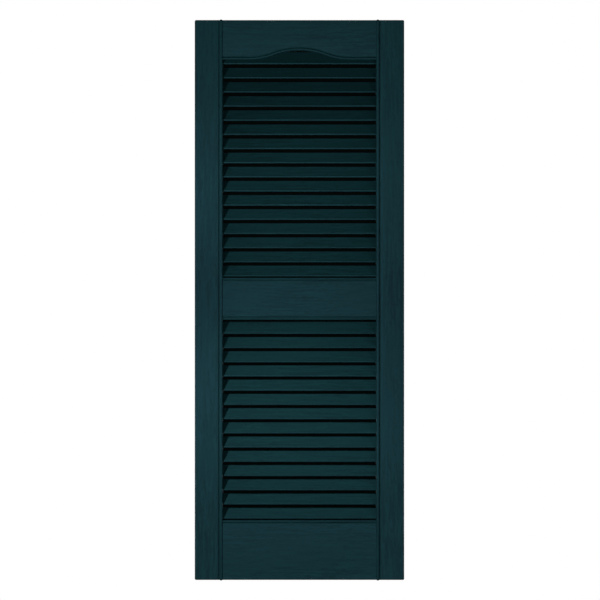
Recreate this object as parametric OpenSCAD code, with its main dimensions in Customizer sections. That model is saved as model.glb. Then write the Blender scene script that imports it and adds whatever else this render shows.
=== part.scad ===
// Louvred shutter for the outside of a house: one hollow moulding with an open back.
// Millimetres. Z is up, the front faces -Y, the back rim lies on the plane y = 0,
// and the origin is the middle of that plane. The modules count heights from the bottom edge.

/* [Panel] */
// Width over the two stiles
panel_width = 370.6; // [300:0.1:460]
// Height, not counting the small bead ends
panel_height = 990.6; // [820:0.1:1250]
// Depth from the back rim to the face of the stiles
panel_depth = 25.4; // [21:0.1:32]
// Thickness of the moulded skin and of the outer walls
skin = 3; // [2.4:0.1:3.6]
// Rounding of the outer edges
edge_radius = 2.5; // [1.5:0.1:4]

/* [Stiles] */
// Width of one stile with its bead
stile_width = 49.5; // [40:0.1:62]
// Width of the bead along the inner side of each stile
bead_width = 5.8; // [4.6:0.1:7.2]
// How far the bead stands in front of the stile
bead_proud = 1.3; // [0.6:0.1:1.8]
// How far the ends of the bead stand past the top and bottom edges
bead_end_proud = 1; // [0.5:0.1:1.4]
// Width of the groove between the bead and the flat face
groove_width = 2.8; // [2:0.1:4]
// Depth of that groove
groove_depth = 1.8; // [0.8:0.1:2]

/* [Rails] */
// Height of the bottom rail
bottom_rail = 105.4; // [85:0.1:130]
// Height of the middle rail
middle_rail = 74.3; // [60:0.1:90]
// Height of the top rail beside the arch
top_rail = 69.6; // [56:0.1:84]
// Lower edge of the middle rail, from the bottom of the panel
middle_rail_from = 460.3; // [380:0.1:560]
// Height of the arch in the top rail
arch_rise = 16.7; // [10:0.1:22]
// Width of the arch
arch_width = 180; // [140:1:210]
// How far the rail faces lie behind the stile faces
rail_setback = 1.2; // [0.6:0.1:2]
// Radius of the small bead along each rail edge
rail_bead = 1.9; // [1.4:0.1:2.3]
// Width of the groove beside the small bead
rail_groove = 2.3; // [1.4:0.1:2.8]
// Depth of that groove
rail_groove_depth = 1.6; // [0.8:0.1:1.8]

/* [Louvres] */
// Number of louvres above the middle rail
upper_louvres = 16; // [12:1:20]
// Number of louvres below the middle rail
lower_louvres = 14; // [10:1:18]
// Thickness of a louvre
louvre_thick = 2.6; // [2.1:0.1:3]
// Radius of the rounded nose of a louvre
nose_radius = 1.8; // [1.6:0.1:2.1]
// How far the noses lie behind the stile faces
nose_setback = 4.8; // [3.5:0.1:6]
// Lean of the louvres from the vertical, in degrees
louvre_lean = 41.9; // [38:0.1:45]
// Height of the open slit between a louvre and the nose above it
slit = 5.65; // [4.4:0.05:7]
// Gap between the lowest nose of a bay and the rail under it
nose_gap = 2.2; // [1.4:0.1:3]
// How far the louvres end in front of the back rim
louvre_clear = 3.4; // [2.4:0.1:3.9]
// Height of the slit between the highest lower louvre and the middle rail
rail_slit = 3.8; // [3:0.1:5]
// Height of the slit between the highest upper louvre and the peak of the arch
arch_slit = 2.6; // [1.8:0.1:4]

/* [Ribs in the hollows] */
// Thickness of the ribs
rib = 2.2; // [1.8:0.1:3]
// How far the ribs end in front of the back rim
rib_clear = 0.8; // [0.4:0.1:1.5]
// Height of the middle rail's level rib above that rail's lower edge
middle_rib_up = 33.7; // [25:0.1:45]
// Distance between the upright ribs in the rails
rib_spacing = 88; // [70:1:94]
// Number of bays between the ribs in each stile
stile_cells = 11; // [9:1:14]

/* [Hidden] */
$fn = 96;
plastic = [0.09, 0.2, 0.23];

half_width = panel_width / 2;
half_bay = half_width - stile_width;
wall = skin - 0.4;
past = 6;

// Rails: lower edge of the top rail, and upper edge of the middle one
top_edge = panel_height - top_rail;
peak = top_edge + arch_rise;
middle_top = middle_rail_from + middle_rail;

// Arch: a centre arc and two side arcs of one radius, which meet halfway up
arc_run = arch_width / 4;
arc_rise = arch_rise / 2;
arc_radius = (arc_run * arc_run + arc_rise * arc_rise) / (2 * arc_rise);
arc_angle = asin(arc_run / arc_radius);

// Faces of the rails and the line of their small beads
rail_face = -panel_depth + rail_setback;
small_bead_in = rail_bead - 0.2;
small_bead_y = rail_face + rail_bead - 0.3;
small_groove_to = small_bead_in + rail_bead + rail_groove;
small_groove_y = rail_face + rail_groove_depth;

// Bead on each stile
bead_radius = bead_width / 2;
bead_x = half_bay + bead_radius;
bead_y = -panel_depth + bead_radius - bead_proud;
bead_end = bead_radius - bead_end_proud;

// Louvres
upper_pitch = (peak - middle_top - nose_gap) / upper_louvres;
lower_pitch = (middle_rail_from - bottom_rail - nose_gap) / lower_louvres;
nose_y = -panel_depth + nose_setback + nose_radius;
half_thick = louvre_thick / 2;
lean_y = sin(louvre_lean);
lean_z = cos(louvre_lean);
front_y = nose_y - half_thick * lean_z;
front_z = nose_radius + half_thick * lean_y;
under_y = nose_y + half_thick * lean_z;
under_z = nose_radius - half_thick * lean_y;
steep = lean_z / lean_y;

// Stile ribs
stile_cell = (panel_height - 2 * wall - (stile_cells - 1) * rib) / stile_cells;

// A rectangle with one or more rounded corners, each named by its signs
module rounded(w0, h0, w1, h1, r, corners) {
  difference() {
    translate([w0, h0]) square([w1 - w0, h1 - h0]);
    for (c = corners)
      translate([c[0] < 0 ? w0 : w1, c[1] < 0 ? h0 : h1])
        difference() {
          square(2 * r, center = true);
          translate([-c[0] * r, -c[1] * r]) circle(r);
        }
  }
}

// Stands an outline drawn in front view, x and z, on the depth from y0 to y1
module deep(y0, y1) {
  translate([0, y1, 0]) rotate([90, 0, 0]) linear_extrude(y1 - y0) children();
}

// Draws an outline given in y and z along x from x0 to x1
module along(x0, x1) {
  translate([x0, 0, 0]) rotate([90, 0, 90]) linear_extrude(x1 - x0) children();
}

module both_sides() {
  children();
  mirror([1, 0, 0]) children();
}

// The right stile's outside, with its outer edges and corners rounded
module stile_block() {
  intersection() {
    linear_extrude(panel_height)
      rounded(half_bay, -panel_depth, half_width, 0, edge_radius, [[1, -1]]);
    deep(-panel_depth, 0)
      rounded(half_bay, 0, half_width, panel_height, edge_radius, [[1, 1], [1, -1]]);
    along(half_bay, half_width)
      rounded(-panel_depth, 0, 0, panel_height, edge_radius, [[-1, 1], [-1, -1]]);
  }
}

// Groove between the stile's flat face and its bead, with a sloping outer side
module stile_groove() {
  x0 = bead_x;
  x1 = half_bay + bead_width + groove_width;
  translate([0, 0, -past]) linear_extrude(panel_height + 2 * past)
    polygon([
      [x0, -panel_depth - 1],
      [x0, -panel_depth + groove_depth],
      [x1 - 0.85 * groove_width, -panel_depth + groove_depth],
      [x1, -panel_depth],
      [x1, -panel_depth - 1],
    ]);
}

// The bead: round in front, round at both ends, and turned over the edges to the back
module stile_bead() {
  z0 = -bead_end_proud;
  z1 = panel_height + bead_end_proud;
  intersection() {
    translate([0, 0, z0]) linear_extrude(z1 - z0)
      union() {
        translate([half_bay, bead_y]) square([bead_width, -bead_y]);
        translate([bead_x, bead_y]) circle(bead_radius);
      }
    deep(-panel_depth - bead_proud, 0)
      union() {
        translate([half_bay, bead_end]) square([bead_width, panel_height - 2 * bead_end]);
        translate([bead_x, bead_end]) circle(bead_radius);
        translate([bead_x, panel_height - bead_end]) circle(bead_radius);
      }
    along(half_bay, half_bay + bead_width)
      rounded(-panel_depth - bead_proud, z0, 0, z1, edge_radius, [[-1, 1], [-1, -1]]);
  }
}

// The right stile: a channel with its open side at the back, and ribs across it
module stile() {
  difference() {
    union() {
      difference() {
        stile_block();
        stile_groove();
      }
      stile_bead();
    }
    translate([half_bay + wall, -panel_depth + skin, wall])
      cube([stile_width - 2 * wall, panel_depth, panel_height - 2 * wall]);
  }
  for (i = [1 : stile_cells - 1])
    translate([half_bay + wall / 2, -panel_depth + skin / 2, wall + i * stile_cell + (i - 1) * rib])
      cube([stile_width - wall, panel_depth - skin / 2 - rib_clear, rib]);
}

// Front view of the bay under the arch, grown upwards by d
module arch_bay(d) {
  translate([-half_bay, middle_top]) square([2 * half_bay, top_edge + d - middle_top]);
  difference() {
    translate([-2 * arc_run, top_edge + d - 1]) square([4 * arc_run, arc_rise + 1]);
    for (s = [-1, 1])
      translate([s * 2 * arc_run, top_edge + arc_radius]) circle(arc_radius - d, $fn = 360);
  }
  intersection() {
    translate([0, peak - arc_radius]) circle(arc_radius + d, $fn = 360);
    translate([-arc_run - d * sin(arc_angle), top_edge + d - 1])
      square([2 * arc_run + 2 * d * sin(arc_angle), arch_rise + 2]);
  }
}

// Small bead along the straight part of a rail edge, in the step cut for it and its groove
module small_bead(z, x0, x1) {
  along(x0, x1) translate([small_bead_y, z]) circle(rail_bead);
}

// Small bead along an arc of radius r, between two angles from +X
module small_bead_arc(x, z, r, bead, a0, a1) {
  translate([x, 0, z]) rotate([90, 0, 0]) rotate([0, 0, a0])
    rotate_extrude(angle = a1 - a0, $fn = 180)
      translate([r, -small_bead_y]) circle(bead, $fn = 48);
}

// The side arcs run a little way into the straight parts and the centre arc, just inside them
module arch_bead() {
  inner = rail_bead - 0.02;
  lap = 0.45;
  r1 = arc_radius + small_bead_in;
  r2 = arc_radius - small_bead_in;
  z1 = peak - arc_radius;
  z2 = top_edge + arc_radius;
  both_sides() small_bead(top_edge + small_bead_in, -half_bay - 1, -2 * arc_run);
  small_bead_arc(0, z1, r1, rail_bead, 90 - arc_angle, 90 + arc_angle);
  small_bead_arc(2 * arc_run, z2, r2, inner, 270 - arc_angle - lap, 270 + lap);
  small_bead_arc(-2 * arc_run, z2, r2, inner, 270 - lap, 270 + arc_angle + lap);
}

module rail_outline(z0, z1, corners) {
  along(-half_bay - 1, half_bay + 1) rounded(rail_face, z0, 0, z1, edge_radius, corners);
}

// Ribs that stand upright in a rail's hollow
module rail_ribs(z0, z1) {
  for (x = [-rib_spacing, 0, rib_spacing])
    translate([x - rib / 2, rail_face + skin / 2, z0])
      cube([rib, -rail_face - skin / 2 - rib_clear, z1 - z0]);
}

module top_rail_body() {
  difference() {
    rail_outline(middle_top + 10, panel_height, [[-1, 1]]);
    deep(-panel_depth - past, past) arch_bay(0);
    deep(rail_face - past, small_groove_y) arch_bay(small_groove_to);
    deep(rail_face + skin, past)
      difference() {
        translate([-half_bay, middle_top])
          square([2 * half_bay, panel_height - wall - middle_top]);
        arch_bay(wall);
      }
  }
  arch_bead();
  intersection() {
    rail_ribs(top_edge, panel_height - wall / 2);
    deep(-panel_depth, 0)
      difference() {
        translate([-half_bay, top_edge]) square([2 * half_bay, top_rail]);
        arch_bay(wall / 2);
      }
  }
}

module straight_rail(z0, z1, below, above) {
  difference() {
    rail_outline(z0, z1, below ? [] : [[-1, -1]]);
    translate([-half_bay, rail_face + skin, z0 + wall])
      cube([2 * half_bay, panel_depth, z1 - z0 - 2 * wall]);
    if (above)
      translate([-half_bay - 2, rail_face - past, z1 - small_groove_to])
        cube([2 * half_bay + 4, past + small_groove_y - rail_face, small_groove_to + past]);
    if (below)
      translate([-half_bay - 2, rail_face - past, z0 - past])
        cube([2 * half_bay + 4, past + small_groove_y - rail_face, small_groove_to + past]);
  }
  if (above) small_bead(z1 - small_bead_in, -half_bay - 1, half_bay + 1);
  if (below) small_bead(z0 + small_bead_in, -half_bay - 1, half_bay + 1);
  rail_ribs(z0 + wall / 2, z1 - wall / 2);
}

// Section of a louvre in y and z, with the underside of its nose at z = 0. It is top_z high
// and ends clear of the back rim, or sooner where its underside comes up to its top.
module louvre_section(top_z, clear) {
  back = min(-clear, under_y + (top_z - under_z) / steep);
  end_z = under_z + (back - under_y) * steep;
  front_end = front_y + (top_z - front_z) / steep;
  translate([nose_y, nose_radius]) circle(nose_radius, $fn = 48);
  polygon(concat(
    [[front_y, front_z]],
    front_end < back ? [[front_end, top_z], [back, top_z]]
                     : [[back, front_z + (back - front_y) * steep]],
    end_z < top_z - 0.01 ? [[back, end_z]] : [],
    [[under_y, under_z]]
  ));
}

// The highest louvre of a bay leaves a slit of its own under the rail
module louvres(z0, count, pitch, last_slit, last_clear) {
  for (i = [0 : count - 1])
    translate([0, 0, z0 + nose_gap + i * pitch])
      along(-half_bay - wall / 2, half_bay + wall / 2)
        if (i < count - 1) louvre_section(pitch - slit, louvre_clear);
        else louvre_section(pitch - last_slit, last_clear);
}

// Level rib in the middle rail, flush with the back rim
module middle_rib() {
  translate([-half_bay - wall / 2, rail_face + skin / 2, middle_rail_from + middle_rib_up])
    cube([2 * half_bay + wall, -rail_face - skin / 2, wall]);
}

// Level rib in the bottom rail
module bottom_rib() {
  translate([-half_bay - wall / 2, rail_face + skin / 2, (bottom_rail - rib) / 2])
    cube([2 * half_bay + wall, -rail_face - skin / 2 - rib_clear, rib]);
}

module shutter() {
  color(plastic) translate([0, 0, -panel_height / 2]) {
    both_sides() stile();
    top_rail_body();
    straight_rail(middle_rail_from, middle_top, true, true);
    straight_rail(0, bottom_rail, false, true);
    middle_rib();
    bottom_rib();
    louvres(middle_top, upper_louvres, upper_pitch, arch_slit, rib_clear / 2);
    louvres(bottom_rail, lower_louvres, lower_pitch, rail_slit, louvre_clear / 2);
  }
}

shutter();
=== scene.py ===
"""Louvred house shutter in coloured-through plastic with a moulded wood grain, lit as in a studio."""

import math

import bmesh
import bpy
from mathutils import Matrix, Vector


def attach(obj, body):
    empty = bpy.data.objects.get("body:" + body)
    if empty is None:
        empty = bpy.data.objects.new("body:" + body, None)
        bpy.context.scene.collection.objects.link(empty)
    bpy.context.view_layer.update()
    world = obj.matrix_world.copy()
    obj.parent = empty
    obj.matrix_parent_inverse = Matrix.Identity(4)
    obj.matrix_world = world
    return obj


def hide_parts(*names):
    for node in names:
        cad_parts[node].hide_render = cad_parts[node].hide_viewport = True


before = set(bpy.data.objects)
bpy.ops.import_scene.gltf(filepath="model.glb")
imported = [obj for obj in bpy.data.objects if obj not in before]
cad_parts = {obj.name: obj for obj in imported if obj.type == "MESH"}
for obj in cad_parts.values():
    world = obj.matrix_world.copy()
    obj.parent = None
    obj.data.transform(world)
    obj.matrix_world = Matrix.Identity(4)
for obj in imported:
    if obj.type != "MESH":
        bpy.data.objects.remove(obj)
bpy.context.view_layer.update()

MM = 0.001

# ---------------------------------------------------------------- sizes, in millimetres
# Heights count from the bottom edge, as in the drawing; LIFT moves them to the shared frame.
HEIGHT = 990.6
LIFT = -HEIGHT / 2
HALF_WIDTH = 185.3
HALF_BAY = 135.8
FRONT = -25.4                    # stile faces
RAIL_FRONT = FRONT + 1.2         # rail faces
EDGE = 2.5                       # rounding of the outer edges
SKIN = 3.0                       # thickness behind the faces
WALL = 2.6                       # thickness of the walls round the pockets

BEAD = 2.9                       # radius of the bead on each stile
BEAD_X = HALF_BAY + BEAD
BEAD_Y = FRONT + BEAD - 1.3      # it stands 1.3 proud
BEAD_END = 1.0                   # how far its ends stand past the edges
BEAD_FOOT = -22.8                # where its outer side ends, under the groove's floor
GROOVE_TO, GROOVE_FLOOR = 142.3, -23.2
GROOVE_SLOPE = ((1.0, 0.75), (1.4, 0.36), (1.9, 0.1), (2.5, 0.0))  # past the floor's edge, below the face

RAILS = ((0.0, 105.4), (460.3, 534.6), (921.0, HEIGHT))
RAIL_END = HALF_BAY + 1.0        # the rails' faces run on into the beads
ARCH_HALF, ARCH_RISE = 90.0, 16.7       # three arcs of one radius that run into each other
PEAK = RAILS[2][0] + ARCH_RISE
ARCH_RADIUS = ((ARCH_HALF / 2) ** 2 + (ARCH_RISE / 2) ** 2) / ARCH_RISE
ARCH_STEPS = 60
SMALL = 1.9                      # radius of the small bead along each rail edge
SMALL_IN = SMALL - 0.2           # its centre, from the rail's edge
SMALL_Y = RAIL_FRONT + SMALL - 0.3
SMALL_GROOVE = ((4.6, 2.0), (5.5, 0.6), (5.95, 0.1), (6.5, 0.0))  # from the rail's edge, below the face

# Points on the flat faces that keep their shading flat
STILE_HOLDS = (155.0, 169.0)
BOTTOM_HOLD, TOP_HOLD = 40.0, 965.0
CREASE = math.radians(32)        # turns sharper than this are shaded as edges

NOSE = 1.8                       # radius of a louvre's nose
NOSE_Y = FRONT + 4.8 + NOSE
NOSE_GAP = 2.2                   # from a rail to the lowest nose over it
HALF_THICK = 1.3                 # half the thickness of a louvre
LEAN = math.radians(41.9)        # from the vertical
SLIT = 5.65                      # from a louvre's top to the nose over it
CLEAR = 3.4                      # how far in front of the back the louvres end
BAYS = {  # name: (from, to, louvres, slit over the last one, its distance from the back)
    "upper_louvres": (RAILS[1][1], PEAK, 16, 2.6, 0.4),
    "lower_louvres": (RAILS[0][1], RAILS[1][0], 14, 3.8, 1.7),
}

RIB = 2.2                        # thickness of the ribs in the pockets
RIB_END = -0.8                   # they end short of the back
RIB_SPACING = 88.0
MIDDLE_RIB_UP = 33.7             # the middle rail's level rib over that rail's lower edge
STILE_RIBS = 10
STILE_STEP = (HEIGHT - 2 * WALL + RIB) / (STILE_RIBS + 1)


def linear(code):
    """An sRGB hex colour as linear red, green, blue and 1."""
    parts = [int(code[i:i + 2], 16) / 255 for i in (1, 3, 5)]
    return (*[c / 12.92 if c <= 0.04045 else ((c + 0.055) / 1.055) ** 2.4 for c in parts], 1.0)


def add(tree, kind, links=None, **settings):
    """Adds a node with its settings; links are {input name or number: socket or value}."""
    node = tree.nodes.new(kind)
    for key, value in settings.items():
        setattr(node, key, value)
    for key, value in (links or {}).items():
        if isinstance(value, bpy.types.NodeSocket):
            tree.links.new(value, node.inputs[key])
        else:
            node.inputs[key].default_value = value
    return node


# ---------------------------------------------------------------- meshes
def arc(cx, cy, r, a0, a1, steps):
    """Points on a circle between two angles in degrees."""
    angles = [math.radians(a0 + (a1 - a0) * i / steps) for i in range(steps + 1)]
    return [(cx + r * math.cos(a), cy + r * math.sin(a)) for a in angles]


def turned_ends(r, steps=6):
    """Heights over an end, with the inset of the outline there, for an edge rounded by r."""
    angles = [math.pi / 2 * (1 - i / steps) for i in range(steps + 1)]
    return [(r * (1 - math.sin(a)), r * (1 - math.cos(a))) for a in angles]


class Shell:
    """Collects faces, in millimetres, and turns them into one mesh."""

    def __init__(self):
        self.verts, self.faces = [], []

    def grid(self, rows):
        """Joins rows of points, all as long as each other."""
        at, wide = len(self.verts), len(rows[0])
        for row in rows:
            self.verts += row
        for i in range(len(rows) - 1):
            for j in range(wide - 1):
                a = at + i * wide + j
                self.faces.append((a, a + 1, a + wide + 1, a + wide))

    def flat(self, points):
        """One face."""
        self.faces.append(tuple(range(len(self.verts), len(self.verts) + len(points))))
        self.verts += points

    def rim(self, x0, x1, z0, z1):
        """A level strip on the back plane."""
        self.flat([(x0, 0, z0), (x0, 0, z1), (x1, 0, z1), (x1, 0, z0)])

    def hollow(self, x0, x1, z0, z1, front):
        """The inside of a pocket that is open at the back."""
        near = [(x0, front, z0), (x1, front, z0), (x1, front, z1), (x0, front, z1)]
        edge = [(x, 0, z) for x, _, z in near]
        self.flat(near[::-1])
        for i in range(4):
            j = (i + 1) % 4
            self.flat([near[i], near[j], edge[j], edge[i]])

    def block(self, x0, x1, y0, y1, z0, z1):
        """A closed box."""
        low, high = [[(x0, y0, z), (x1, y0, z), (x1, y1, z), (x0, y1, z)] for z in (z0, z1)]
        self.flat(low[::-1])
        self.flat(high)
        for i in range(4):
            j = (i + 1) % 4
            self.flat([low[i], low[j], high[j], high[i]])

    def mirror(self):
        """Adds the same faces on the other side of x = 0."""
        at = len(self.verts)
        self.verts += [(-x, y, z) for x, y, z in self.verts]
        self.faces += [tuple(at + v for v in reversed(f)) for f in self.faces]

    def mesh(self, name):
        """The mesh in metres and in the shared frame, with doubled points merged."""
        mesh = bpy.data.meshes.new(name)
        mesh.from_pydata([(x * MM, y * MM, (z + LIFT) * MM) for x, y, z in self.verts], [], self.faces)
        work = bmesh.new()
        work.from_mesh(mesh)
        bmesh.ops.remove_doubles(work, verts=work.verts, dist=0.002 * MM)
        bmesh.ops.dissolve_degenerate(work, dist=0.0001 * MM, edges=work.edges)
        work.to_mesh(mesh)
        work.free()
        return mesh


def show(name, mesh, mat):
    """Puts a finished mesh in the scene as a piece of the shutter."""
    mesh.shade_smooth()
    mesh.set_sharp_from_angle(angle=CREASE)
    if not mesh.materials:
        mesh.materials.append(mat)
    obj = bpy.data.objects.new(name, mesh)
    bpy.context.collection.objects.link(obj)
    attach(obj, "root")
    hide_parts("shutter")


def stile_face(shell):
    """The right stile's flat face with its groove and its rounded outer edges."""
    front = [(BEAD_X, GROOVE_FLOOR), (GROOVE_TO, GROOVE_FLOOR)]
    front += [(GROOVE_TO + x, FRONT + y) for x, y in GROOVE_SLOPE]
    front += [(x, FRONT) for x in STILE_HOLDS]
    cx, cy = HALF_WIDTH - EDGE, FRONT + EDGE
    ends = turned_ends(EDGE)
    levels = ends + [(HEIGHT - t, inset) for t, inset in reversed(ends)]
    rows = []
    for z, inset in levels:
        row = [(x, max(y, FRONT + inset), z) for x, y in front]
        k = 1 - inset / EDGE
        row += [(cx + (x - cx) * k, cy + (y - cy) * k, z) for x, y in arc(cx, cy, EDGE, -90, 0, 8)]
        row.append((HALF_WIDTH - inset, 0.0, z))
        rows.append(row)
    shell.grid(rows)
    shell.flat((rows[0] + [(BEAD_X, 0.0, 0.0)])[::-1])
    shell.flat(rows[-1] + [(BEAD_X, 0.0, HEIGHT)])


def stile_bead(shell):
    """The bead: the wall towards the louvres, the round front and the side in the groove."""
    def section(r, foot):
        return [(BEAD_X - r, 0.0)] + arc(BEAD_X, BEAD_Y, r, 180, 360, 20) + [(BEAD_X + r, foot)]

    z0 = BEAD - BEAD_END
    shell.grid([[(x, y, z) for x, y in section(BEAD, BEAD_FOOT)] for z in (z0, HEIGHT - z0)])
    # Its ends: round in front view and turned over to the back
    lower = [[(x, y, t - BEAD_END) for x, y in section(BEAD - inset, 0.0)]
             for t, inset in turned_ends(BEAD)]
    upper = [[(x, y, HEIGHT - z) for x, y, z in row] for row in reversed(lower)]
    for rows in (lower, upper):
        shell.grid(rows)
        shell.flat([row[0] for row in rows] + [row[-1] for row in reversed(rows)])


def stile_back(shell):
    """The stile's pocket and the rim around it."""
    x0, x1 = HALF_BAY + WALL, HALF_WIDTH - WALL
    z0, z1 = WALL, HEIGHT - WALL
    shell.hollow(x0, x1, z0, z1, FRONT + SKIN)
    shell.rim(HALF_BAY, x0, BEAD - BEAD_END, HEIGHT - BEAD + BEAD_END)
    shell.rim(x1, HALF_WIDTH, EDGE, HEIGHT - EDGE)
    shell.rim(x0, x1, 0.0, z0)
    shell.rim(x0, x1, z1, HEIGHT)
    corner = [(HALF_WIDTH - inset, 0, t) for t, inset in turned_ends(EDGE)]
    corner = [(x1, 0, 0.0)] + corner + [(x1, 0, EDGE)]
    shell.flat(corner[::-1])
    shell.flat([(x, y, HEIGHT - z) for x, y, z in corner])


# Distance from a rail's edge and depth: wall up to the bead's side, small bead, groove, face
EDGE_PROFILE = [(0.0, 0.0), (0.0, SMALL_Y + 0.5)]
EDGE_PROFILE += arc(SMALL_IN, SMALL_Y, SMALL, 180, 360, 14)
EDGE_PROFILE += [(d, RAIL_FRONT + y) for d, y in SMALL_GROOVE]


def arch_edge():
    """Points and inward directions along the lower edge of the top rail."""
    z0 = RAILS[2][0]
    stations = [(-RAIL_END, z0, 0.0, 1.0)]
    for i in range(ARCH_STEPS + 1):
        x = ARCH_HALF * (2 * i / ARCH_STEPS - 1)
        if abs(x) > ARCH_HALF / 2:
            run = abs(x) - ARCH_HALF
            up = math.sqrt(ARCH_RADIUS ** 2 - run ** 2)
            z, slope = z0 + ARCH_RADIUS - up, math.copysign(1, x) * run / up
        else:
            up = math.sqrt(ARCH_RADIUS ** 2 - x ** 2)
            z, slope = PEAK - ARCH_RADIUS + up, -x / up
        long = math.hypot(1, slope)
        stations.append((x, z, -slope / long, 1 / long))
    stations.append((RAIL_END, z0, 0.0, 1.0))
    return stations


def lower_rails(shell):
    """The bottom and the middle rail, with their pockets."""
    # Bottom rail: turned over below, beaded above
    z1 = RAILS[0][1]
    bottom = [(0.0, 0.0)] + [(t, RAIL_FRONT + inset) for t, inset in turned_ends(EDGE)]
    bottom += [(BOTTOM_HOLD, RAIL_FRONT)] + [(z1 - d, y) for d, y in reversed(EDGE_PROFILE)]
    # Middle rail: beaded on both edges
    z0, z1 = RAILS[1]
    middle = [(z0 + d, y) for d, y in EDGE_PROFILE] + [(z1 - d, y) for d, y in reversed(EDGE_PROFILE)]
    for section in (bottom, middle):
        shell.grid([[(x, y, z) for z, y in section] for x in (RAIL_END, -RAIL_END)])
    for z0, z1 in RAILS[:2]:
        shell.hollow(-HALF_BAY, HALF_BAY, z0 + WALL, z1 - WALL, RAIL_FRONT + SKIN)
        shell.rim(-HALF_BAY, HALF_BAY, z0, z0 + WALL)
        shell.rim(-HALF_BAY, HALF_BAY, z1 - WALL, z1)


def top_rail(shell):
    """The top rail, which follows the arch, with its pocket."""
    over = [(RAIL_FRONT, TOP_HOLD)]
    over += [(RAIL_FRONT + inset, HEIGHT - t) for t, inset in reversed(turned_ends(EDGE))]
    over.append((0.0, HEIGHT))
    rows = []
    for x, z, nx, nz in arch_edge():
        row = [(x + d * nx, y, z + d * nz) for d, y in EDGE_PROFILE]
        rows.append(row + [(x, y, top) for y, top in over])
    shell.grid(rows[::-1])

    z0, top, floor = RAILS[2][0], HEIGHT - WALL, RAIL_FRONT + SKIN
    inside = [s for s in arch_edge() if abs(s[0]) <= HALF_BAY]
    inside = [(-HALF_BAY, z0, 0.0, 1.0)] + inside + [(HALF_BAY, z0, 0.0, 1.0)]
    rows = []
    for x, z, nx, nz in inside:
        deep_x, deep_z = x + WALL * nx, z + WALL * nz
        rows.append([(x, 0, z), (deep_x, 0, deep_z), (deep_x, floor, deep_z),
                     (x, floor, top), (x, 0, top), (x, 0, HEIGHT)])
    shell.grid(rows)
    for side in (-1, 1):
        x = side * HALF_BAY
        end = [(x, 0, z0 + WALL), (x, 0, top), (x, floor, top), (x, floor, z0 + WALL)]
        shell.flat(end[::-side])


def frame_mesh():
    """Stiles, rails and the ribs that stand alone in the rails' pockets."""
    shell = Shell()
    stile_face(shell)
    stile_bead(shell)
    stile_back(shell)
    shell.mirror()
    lower_rails(shell)
    top_rail(shell)
    side, start = HALF_BAY + WALL / 2, RAIL_FRONT + SKIN / 2
    # Level ribs of the middle and bottom rails, and the upright rib over the arch's peak
    z = RAILS[1][0] + MIDDLE_RIB_UP
    shell.block(-side, side, start, 0.0, z, z + WALL)
    z = (RAILS[0][1] - RIB) / 2
    shell.block(-side, side, start, RIB_END, z, z + RIB)
    shell.block(-RIB / 2, RIB / 2, start, RIB_END, PEAK + WALL / 2, HEIGHT - WALL / 2)
    return shell.mesh("frame")


def louvre_mesh(name, bottom, top_z, clear):
    """One louvre with the underside of its nose at the given height."""
    dy, dz = math.sin(LEAN), math.cos(LEAN)
    steep = dz / dy
    front = (NOSE_Y - HALF_THICK * dz, NOSE + HALF_THICK * dy)
    under = (NOSE_Y + HALF_THICK * dz, NOSE - HALF_THICK * dy)
    reach = math.degrees(math.acos(HALF_THICK / NOSE))
    up = 180 - math.degrees(LEAN)  # direction of the front side's normal
    outline = [(front[0] + (top_z - front[1]) / steep, top_z)]
    outline += arc(NOSE_Y, NOSE, NOSE, up - reach, up + 180 + reach, 26)
    outline += [(-clear, under[1] + (-clear - under[0]) * steep), (-clear, top_z)]
    shell = Shell()
    x = HALF_BAY + WALL / 2
    ring = outline + outline[:1]
    shell.grid([[(a, y, z + bottom) for y, z in ring] for a in (-x, x)])
    for a, order in ((x, 1), (-x, -1)):
        shell.flat([(a, y, z + bottom) for y, z in outline][::order])
    return shell.mesh(name)


# ---------------------------------------------------------------- geometry nodes
def repeated(name, mesh, mat, count, step):
    """Repeats a mesh along a line by Geometry Nodes and returns the finished mesh."""
    tree = bpy.data.node_groups.new(name + "_in_a_row", "GeometryNodeTree")
    ports = tree.interface
    ports.new_socket("Geometry", in_out="INPUT", socket_type="NodeSocketGeometry")
    ports.new_socket("Count", in_out="INPUT", socket_type="NodeSocketInt")
    ports.new_socket("Step", in_out="INPUT", socket_type="NodeSocketVector")
    ports.new_socket("Finish", in_out="INPUT", socket_type="NodeSocketMaterial")
    ports.new_socket("Geometry", in_out="OUTPUT", socket_type="NodeSocketGeometry")
    entry = add(tree, "NodeGroupInput").outputs
    line = add(tree, "GeometryNodeMeshLine", {"Count": entry["Count"], "Offset": entry["Step"]})
    placed = add(tree, "GeometryNodeInstanceOnPoints",
                 {"Points": line.outputs[0], "Instance": entry["Geometry"]})
    real = add(tree, "GeometryNodeRealizeInstances", {0: placed.outputs[0]})
    coat = add(tree, "GeometryNodeSetMaterial", {"Geometry": real.outputs[0], "Material": entry["Finish"]})
    add(tree, "NodeGroupOutput", {0: coat.outputs[0]})

    obj = bpy.data.objects.new(name, mesh)
    bpy.context.collection.objects.link(obj)
    modifier = obj.modifiers.new("row", "NODES")
    modifier.node_group = tree
    values = {"Count": count, "Step": [v * MM for v in step], "Finish": mat}
    for item in ports.items_tree:
        if item.in_out == "INPUT" and item.name in values:
            modifier[item.identifier] = values[item.name]
    depsgraph = bpy.context.evaluated_depsgraph_get()
    done = bpy.data.meshes.new_from_object(obj.evaluated_get(depsgraph))
    obj.modifiers.remove(modifier)
    bpy.data.objects.remove(obj)
    done.name = name
    return done


# ---------------------------------------------------------------- finishes
# The sunk lines' colour holds painted shade; the crests' colour is the plastic's own
SUNK_SHADE_COLOUR, CREST_COLOUR = "#163739", "#1B4447"
DULL_ROUGHNESS, CREST_ROUGHNESS = 0.62, 0.52
GRAIN_DEPTH = 0.0003             # metres for a height of 1; the deepest pores come to about 0.15 mm
PORE_DEPTH = 0.35                # in the same heights
FAINTEST = 0.35                  # share of the grain that is left between the bold patches

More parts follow.
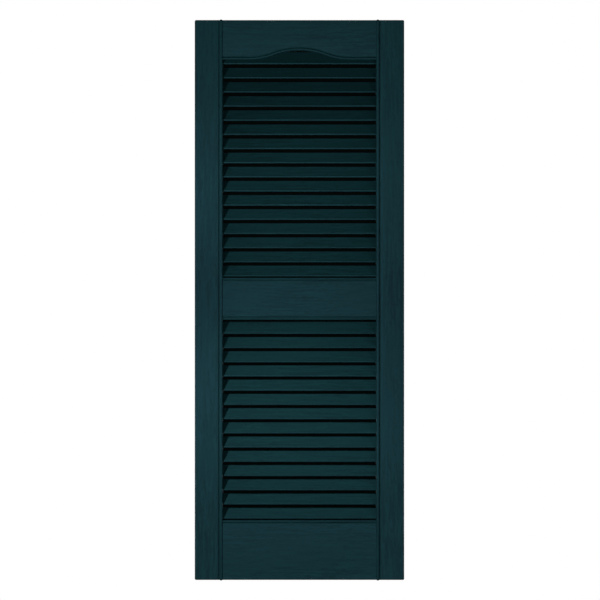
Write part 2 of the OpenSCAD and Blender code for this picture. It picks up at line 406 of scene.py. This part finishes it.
# Noise cells in a metre: two numbers across the wood and one along it, each 1000 / size in mm
STREAK_CELLS = (250.0, 250.0, 17.0)     # 4 mm across, 59 mm along
PORE_CELLS = (1000.0, 1000.0, 80.0)     # 1 mm across, 12.5 mm along
PATCH_CELLS = (18.0, 18.0, 8.0)         # 56 mm across, 125 mm along
BEND_CELLS = (12.0, 12.0, 7.0)          # 83 mm across, 143 mm along
BEND = (0.012, 0.012, 0.0)              # metres for a noise of 1, which varies by about 0.25 each way


def along_wood(t):
    """Object coordinates with z along the wood, which stands on the stiles and lies elsewhere."""
    at = add(t, "ShaderNodeTexCoord").outputs["Object"]
    xyz = add(t, "ShaderNodeSeparateXYZ", {0: at}).outputs
    across = add(t, "ShaderNodeMath", {0: xyz["X"]}, operation="ABSOLUTE")
    upright = add(t, "ShaderNodeMath", {0: across.outputs[0], 1: HALF_BAY * MM}, operation="GREATER_THAN")
    lying = add(t, "ShaderNodeCombineXYZ", {"X": xyz["Z"], "Y": xyz["Y"], "Z": xyz["X"]})
    return add(t, "ShaderNodeMix", {"Factor": upright.outputs[0], 4: lying.outputs[0], 5: at},
               data_type="VECTOR").outputs[1]


def wood_relief(t):
    """Height of the moulded grain: streaks that bend a little, and pores sunk between them."""
    along = along_wood(t)
    bend_at = add(t, "ShaderNodeMapping", {"Vector": along, "Scale": BEND_CELLS})
    bend = add(t, "ShaderNodeTexNoise", {"Vector": bend_at.outputs[0], "Scale": 1.0, "Detail": 1.0})
    shift = add(t, "ShaderNodeVectorMath", {0: bend.outputs[1], 1: (0.5, 0.5, 0.5)}, operation="SUBTRACT")
    small = add(t, "ShaderNodeVectorMath", {0: shift.outputs[0], 1: BEND}, operation="MULTIPLY")
    wavy = add(t, "ShaderNodeVectorMath", {0: along, 1: small.outputs[0]}, operation="ADD").outputs[0]

    streak_at = add(t, "ShaderNodeMapping", {"Vector": wavy, "Scale": STREAK_CELLS})
    streaks = add(t, "ShaderNodeTexNoise",
                  {"Vector": streak_at.outputs[0], "Scale": 1.0, "Detail": 2.0, "Roughness": 0.5})
    pore_at = add(t, "ShaderNodeMapping", {"Vector": wavy, "Scale": PORE_CELLS})
    pores = add(t, "ShaderNodeTexNoise",
                {"Vector": pore_at.outputs[0], "Scale": 1.0, "Detail": 1.0, "Roughness": 0.5})
    sunk = add(t, "ShaderNodeMapRange", {"Value": pores.outputs[0], "From Min": 0.52, "From Max": 0.68})
    deep = add(t, "ShaderNodeMath", {0: sunk.outputs[0], 1: PORE_DEPTH}, operation="MULTIPLY")
    level = add(t, "ShaderNodeMath", {0: streaks.outputs[0], 1: 0.5}, operation="SUBTRACT")
    relief = add(t, "ShaderNodeMath", {0: level.outputs[0], 1: deep.outputs[0]}, operation="SUBTRACT")

    # The grain is bolder in some patches, as in real boards
    patch_at = add(t, "ShaderNodeMapping", {"Vector": along, "Scale": PATCH_CELLS})
    patches = add(t, "ShaderNodeTexNoise", {"Vector": patch_at.outputs[0], "Scale": 1.0, "Detail": 1.0})
    bold = add(t, "ShaderNodeMapRange", {"Value": patches.outputs[0], "From Min": 0.4, "From Max": 0.65,
                                         "To Min": FAINTEST, "To Max": 1.0})
    height = add(t, "ShaderNodeMath", {0: relief.outputs[0], 1: bold.outputs[0]}, operation="MULTIPLY")
    return height.outputs[0]


def moulded_plastic():
    """Polypropylene copolymer, coloured through in dark blue-green, moulded with a wood grain.

    It gives a satin, slightly bluish gloss, broken into streaks along the wood.
    """
    mat = bpy.data.materials.new("moulded_polypropylene_wood_grain")
    mat.use_nodes = True
    t = mat.node_tree
    t.nodes.clear()
    height = wood_relief(t)
    # The sunk lines are painted a shade darker than the crests, as painted shade in the grain's hollows, and
    # they are duller
    grain_shade_and_gloss = add(t, "ShaderNodeMapRange", {"Value": height, "From Min": -0.2, "From Max": 0.12}).outputs[0]
    colour = add(t, "ShaderNodeMix", {"Factor": grain_shade_and_gloss, 6: linear(SUNK_SHADE_COLOUR), 7: linear(CREST_COLOUR)},
                 data_type="RGBA")
    dull = add(t, "ShaderNodeMapRange", {"Value": grain_shade_and_gloss, "To Min": DULL_ROUGHNESS, "To Max": CREST_ROUGHNESS})
    bump = add(t, "ShaderNodeBump", {"Height": height, "Strength": 1.0, "Distance": GRAIN_DEPTH})
    shader = add(t, "ShaderNodeBsdfPrincipled", {
        "Base Color": colour.outputs[2], "Roughness": dull.outputs[0], "Normal": bump.outputs[0],
        "IOR": 1.49, "Specular IOR Level": 0.3, "Specular Tint": (0.3, 0.5, 1.0, 1.0)})
    add(t, "ShaderNodeOutputMaterial", {0: shader.outputs[0]})
    return mat


def plain(name, colour, glow, one_sided=False):
    """A matt finish for the floor, and for the black card behind the louvres that paints the shade seen
    through the slits.
    """
    mat = bpy.data.materials.new(name)
    mat.use_nodes = True
    t = mat.node_tree
    shader = t.nodes["Principled BSDF"]
    shader.inputs["Base Color"].default_value = linear(colour)
    shader.inputs["Roughness"].default_value = 1.0
    shader.inputs["Specular IOR Level"].default_value = 0.0
    shader.inputs["Emission Color"].default_value = linear(colour)
    shader.inputs["Emission Strength"].default_value = glow
    if one_sided:
        back = add(t, "ShaderNodeNewGeometry").outputs["Backfacing"]
        clear = add(t, "ShaderNodeBsdfTransparent").outputs[0]
        mix = add(t, "ShaderNodeMixShader", {0: back, 1: shader.outputs[0], 2: clear})
        t.links.new(mix.outputs[0], t.nodes["Material Output"].inputs[0])
    return mat


# ---------------------------------------------------------------- the shutter
def shutter():
    """All the pieces of the moulding."""
    plastic = moulded_plastic()
    show("frame", frame_mesh(), plastic)
    for name, (low, high, count, last_slit, last_clear) in BAYS.items():
        nose = low + NOSE_GAP
        pitch = (high - nose) / count
        one = louvre_mesh(name, nose, pitch - SLIT, CLEAR)
        show(name, repeated(name, one, plastic, count - 1, (0, 0, pitch)), plastic)
        last = louvre_mesh(name, high - pitch, pitch - last_slit, last_clear)
        show(name + "_last", last, plastic)

    # Ribs in rows: one rib's box, how many, and the step
    inner, outer = HALF_BAY + WALL / 2, HALF_WIDTH - WALL / 2
    rib = (FRONT + SKIN / 2, RIB_END, WALL + STILE_STEP - RIB, WALL + STILE_STEP)
    rows = {"stile_ribs_right": ((inner, outer) + rib, STILE_RIBS, (0, 0, STILE_STEP)),
            "stile_ribs_left": ((-outer, -inner) + rib, STILE_RIBS, (0, 0, STILE_STEP))}
    rail_rows = ("bottom_rail_ribs", 3), ("middle_rail_ribs", 3), ("top_rail_ribs", 2)
    for (name, count), (z0, z1) in zip(rail_rows, RAILS):
        box = (-RIB_SPACING - RIB / 2, -RIB_SPACING + RIB / 2, RAIL_FRONT + SKIN / 2, RIB_END,
               z0 + WALL / 2, z1 - WALL / 2)
        rows[name] = (box, count, (2 * RIB_SPACING / (count - 1), 0, 0))
    for name, (box, count, step) in rows.items():
        shell = Shell()
        shell.block(*box)
        show(name, repeated(name, shell.mesh(name), plastic, count, step), plastic)


# ---------------------------------------------------------------- floor, painted-shade card and lights, in metres
FLOOR_HALF, FLOOR_Z = 1.4, -0.75
# The card is painted shade: a black sheet seen through the slits in place of the dark behind them
SHADE_CARD_HALF = (HALF_BAY + 1.2) * MM
SHADE_CARD_LOW, SHADE_CARD_HIGH = -0.395, 0.447     # about 5 mm past the louvres, hidden by the rails
SHADE_CARD_Y = -0.1 * MM               # inside the back rim, so that it doesn't show from the side

KEY = (-1.185, -1.971)           # 2.3 m away, 31 degrees to the left
REAR = (1.6, 1.2, -0.7)          # low, so that no light comes forward through the slits
SIDE = (1.7, 0.25, -0.5)


def sheet_of(name, corners, mat):
    """A flat sheet that isn't part of the shutter."""
    mesh = bpy.data.meshes.new(name)
    mesh.from_pydata(corners, [], [tuple(range(len(corners)))])
    mesh.materials.append(mat)
    obj = bpy.data.objects.new(name, mesh)
    bpy.context.collection.objects.link(obj)
    return obj


def surroundings():
    """The pale floor, and a black card behind the louvres that paints the shade seen through the slits."""
    a, z = FLOOR_HALF, FLOOR_Z
    floor = sheet_of("floor", [(-a, -a, z), (a, -a, z), (a, a, z), (-a, a, z)],
                     plain("pale_floor_paint", "#E6E4E0", 0.7))
    floor.visible_diffuse = False
    floor.visible_glossy = False
    # Painted shade: a black card behind the slits, clear from behind and casting no shadow
    a, y = SHADE_CARD_HALF, SHADE_CARD_Y
    card = sheet_of("painted_shade_card", [(-a, y, SHADE_CARD_LOW), (a, y, SHADE_CARD_LOW), (a, y, SHADE_CARD_HIGH), (-a, y, SHADE_CARD_HIGH)],
                    plain("painted_shade_black", "#030404", 1.0, one_sided=True))
    card.visible_shadow = False


def lamp(name, place, aim, size, power, cone=None):
    """A round lamp, or with a cone in degrees a spot with a soft edge."""
    data = bpy.data.lights.new(name, "SPOT" if cone else "AREA")
    data.energy = power
    if cone:
        data.shadow_soft_size = size / 2
        data.spot_size = math.radians(cone)
        data.spot_blend = 1.0
    else:
        data.shape = "DISK"
        data.size = size
    obj = bpy.data.objects.new(name, data)
    obj.location = place
    obj.rotation_mode = "QUATERNION"
    obj.rotation_quaternion = (Vector(aim) - Vector(place)).to_track_quat("-Z", "Y")
    bpy.context.collection.objects.link(obj)


def lamps():
    """Key light from the left in overlapping spots, weak fills, and two lamps a side for the back."""
    lamp("key_low", (*KEY, 0.65), (-0.01, 0, -0.43), 0.1, 120, 20)
    lamp("key_middle", (*KEY, 0.25), (0, 0, 0), 0.1, 57, 20)
    lamp("key_centre", (*KEY, 0.25), (0.03, 0, -0.005), 0.1, 22, 9)
    lamp("key_high", (*KEY, -0.35), (0, 0, 0.42), 0.1, 82, 20)
    lamp("fill", (0, -2.0, -1.2), (0, 0, 0), 1.0, 13)
    lamp("right", (1.3, -1.5, 0.0), (0, 0, 0), 0.5, 5)
    for kind, (x, y, z), power, cone in (("rear", REAR, 150, 36), ("side", SIDE, 22, 40)):
        lamp(kind + "_right", (x, y, z), (0, 0, 0), 0.5, power, cone)
        lamp(kind + "_left", (-x, y, z), (0, 0, 0), 0.5, power, cone)


def studio_world():
    """White to the camera alone, so that only the lamps light the shutter."""
    world = bpy.data.worlds.new("studio")
    bpy.context.scene.world = world
    world.use_nodes = True
    t = world.node_tree
    t.nodes.clear()
    seen = add(t, "ShaderNodeBackground", {"Color": (1, 1, 1, 1), "Strength": 1.0})
    dim = add(t, "ShaderNodeBackground", {"Color": (1, 1, 1, 1), "Strength": 0.0})
    camera_ray = add(t, "ShaderNodeLightPath").outputs["Is Camera Ray"]
    mix = add(t, "ShaderNodeMixShader", {0: camera_ray, 1: dim.outputs[0], 2: seen.outputs[0]})
    add(t, "ShaderNodeOutputWorld", {0: mix.outputs[0]})


# ---------------------------------------------------------------- camera, in metres
SPAN = 1.0612                    # what the square frame takes in at the stile faces
AWAY = 6.0
ASIDE = 0.00094                  # how far the camera stands to the right of the middle
SENSOR = 36.0                    # millimetres


def square_on_camera():
    """A camera square on to the shutter's middle."""
    camera = bpy.data.objects.new("camera", bpy.data.cameras.new("camera"))
    bpy.context.collection.objects.link(camera)
    camera.location = (ASIDE, FRONT * MM - AWAY, 0.0)
    camera.rotation_euler = (math.pi / 2, 0, 0)
    camera.data.sensor_width = SENSOR
    camera.data.lens = SENSOR * AWAY / SPAN
    camera.data.clip_end = 100.0
    bpy.context.scene.camera = camera
    bpy.context.scene.view_settings.view_transform = "Standard"


shutter()
surroundings()
lamps()
studio_world()
square_on_camera()
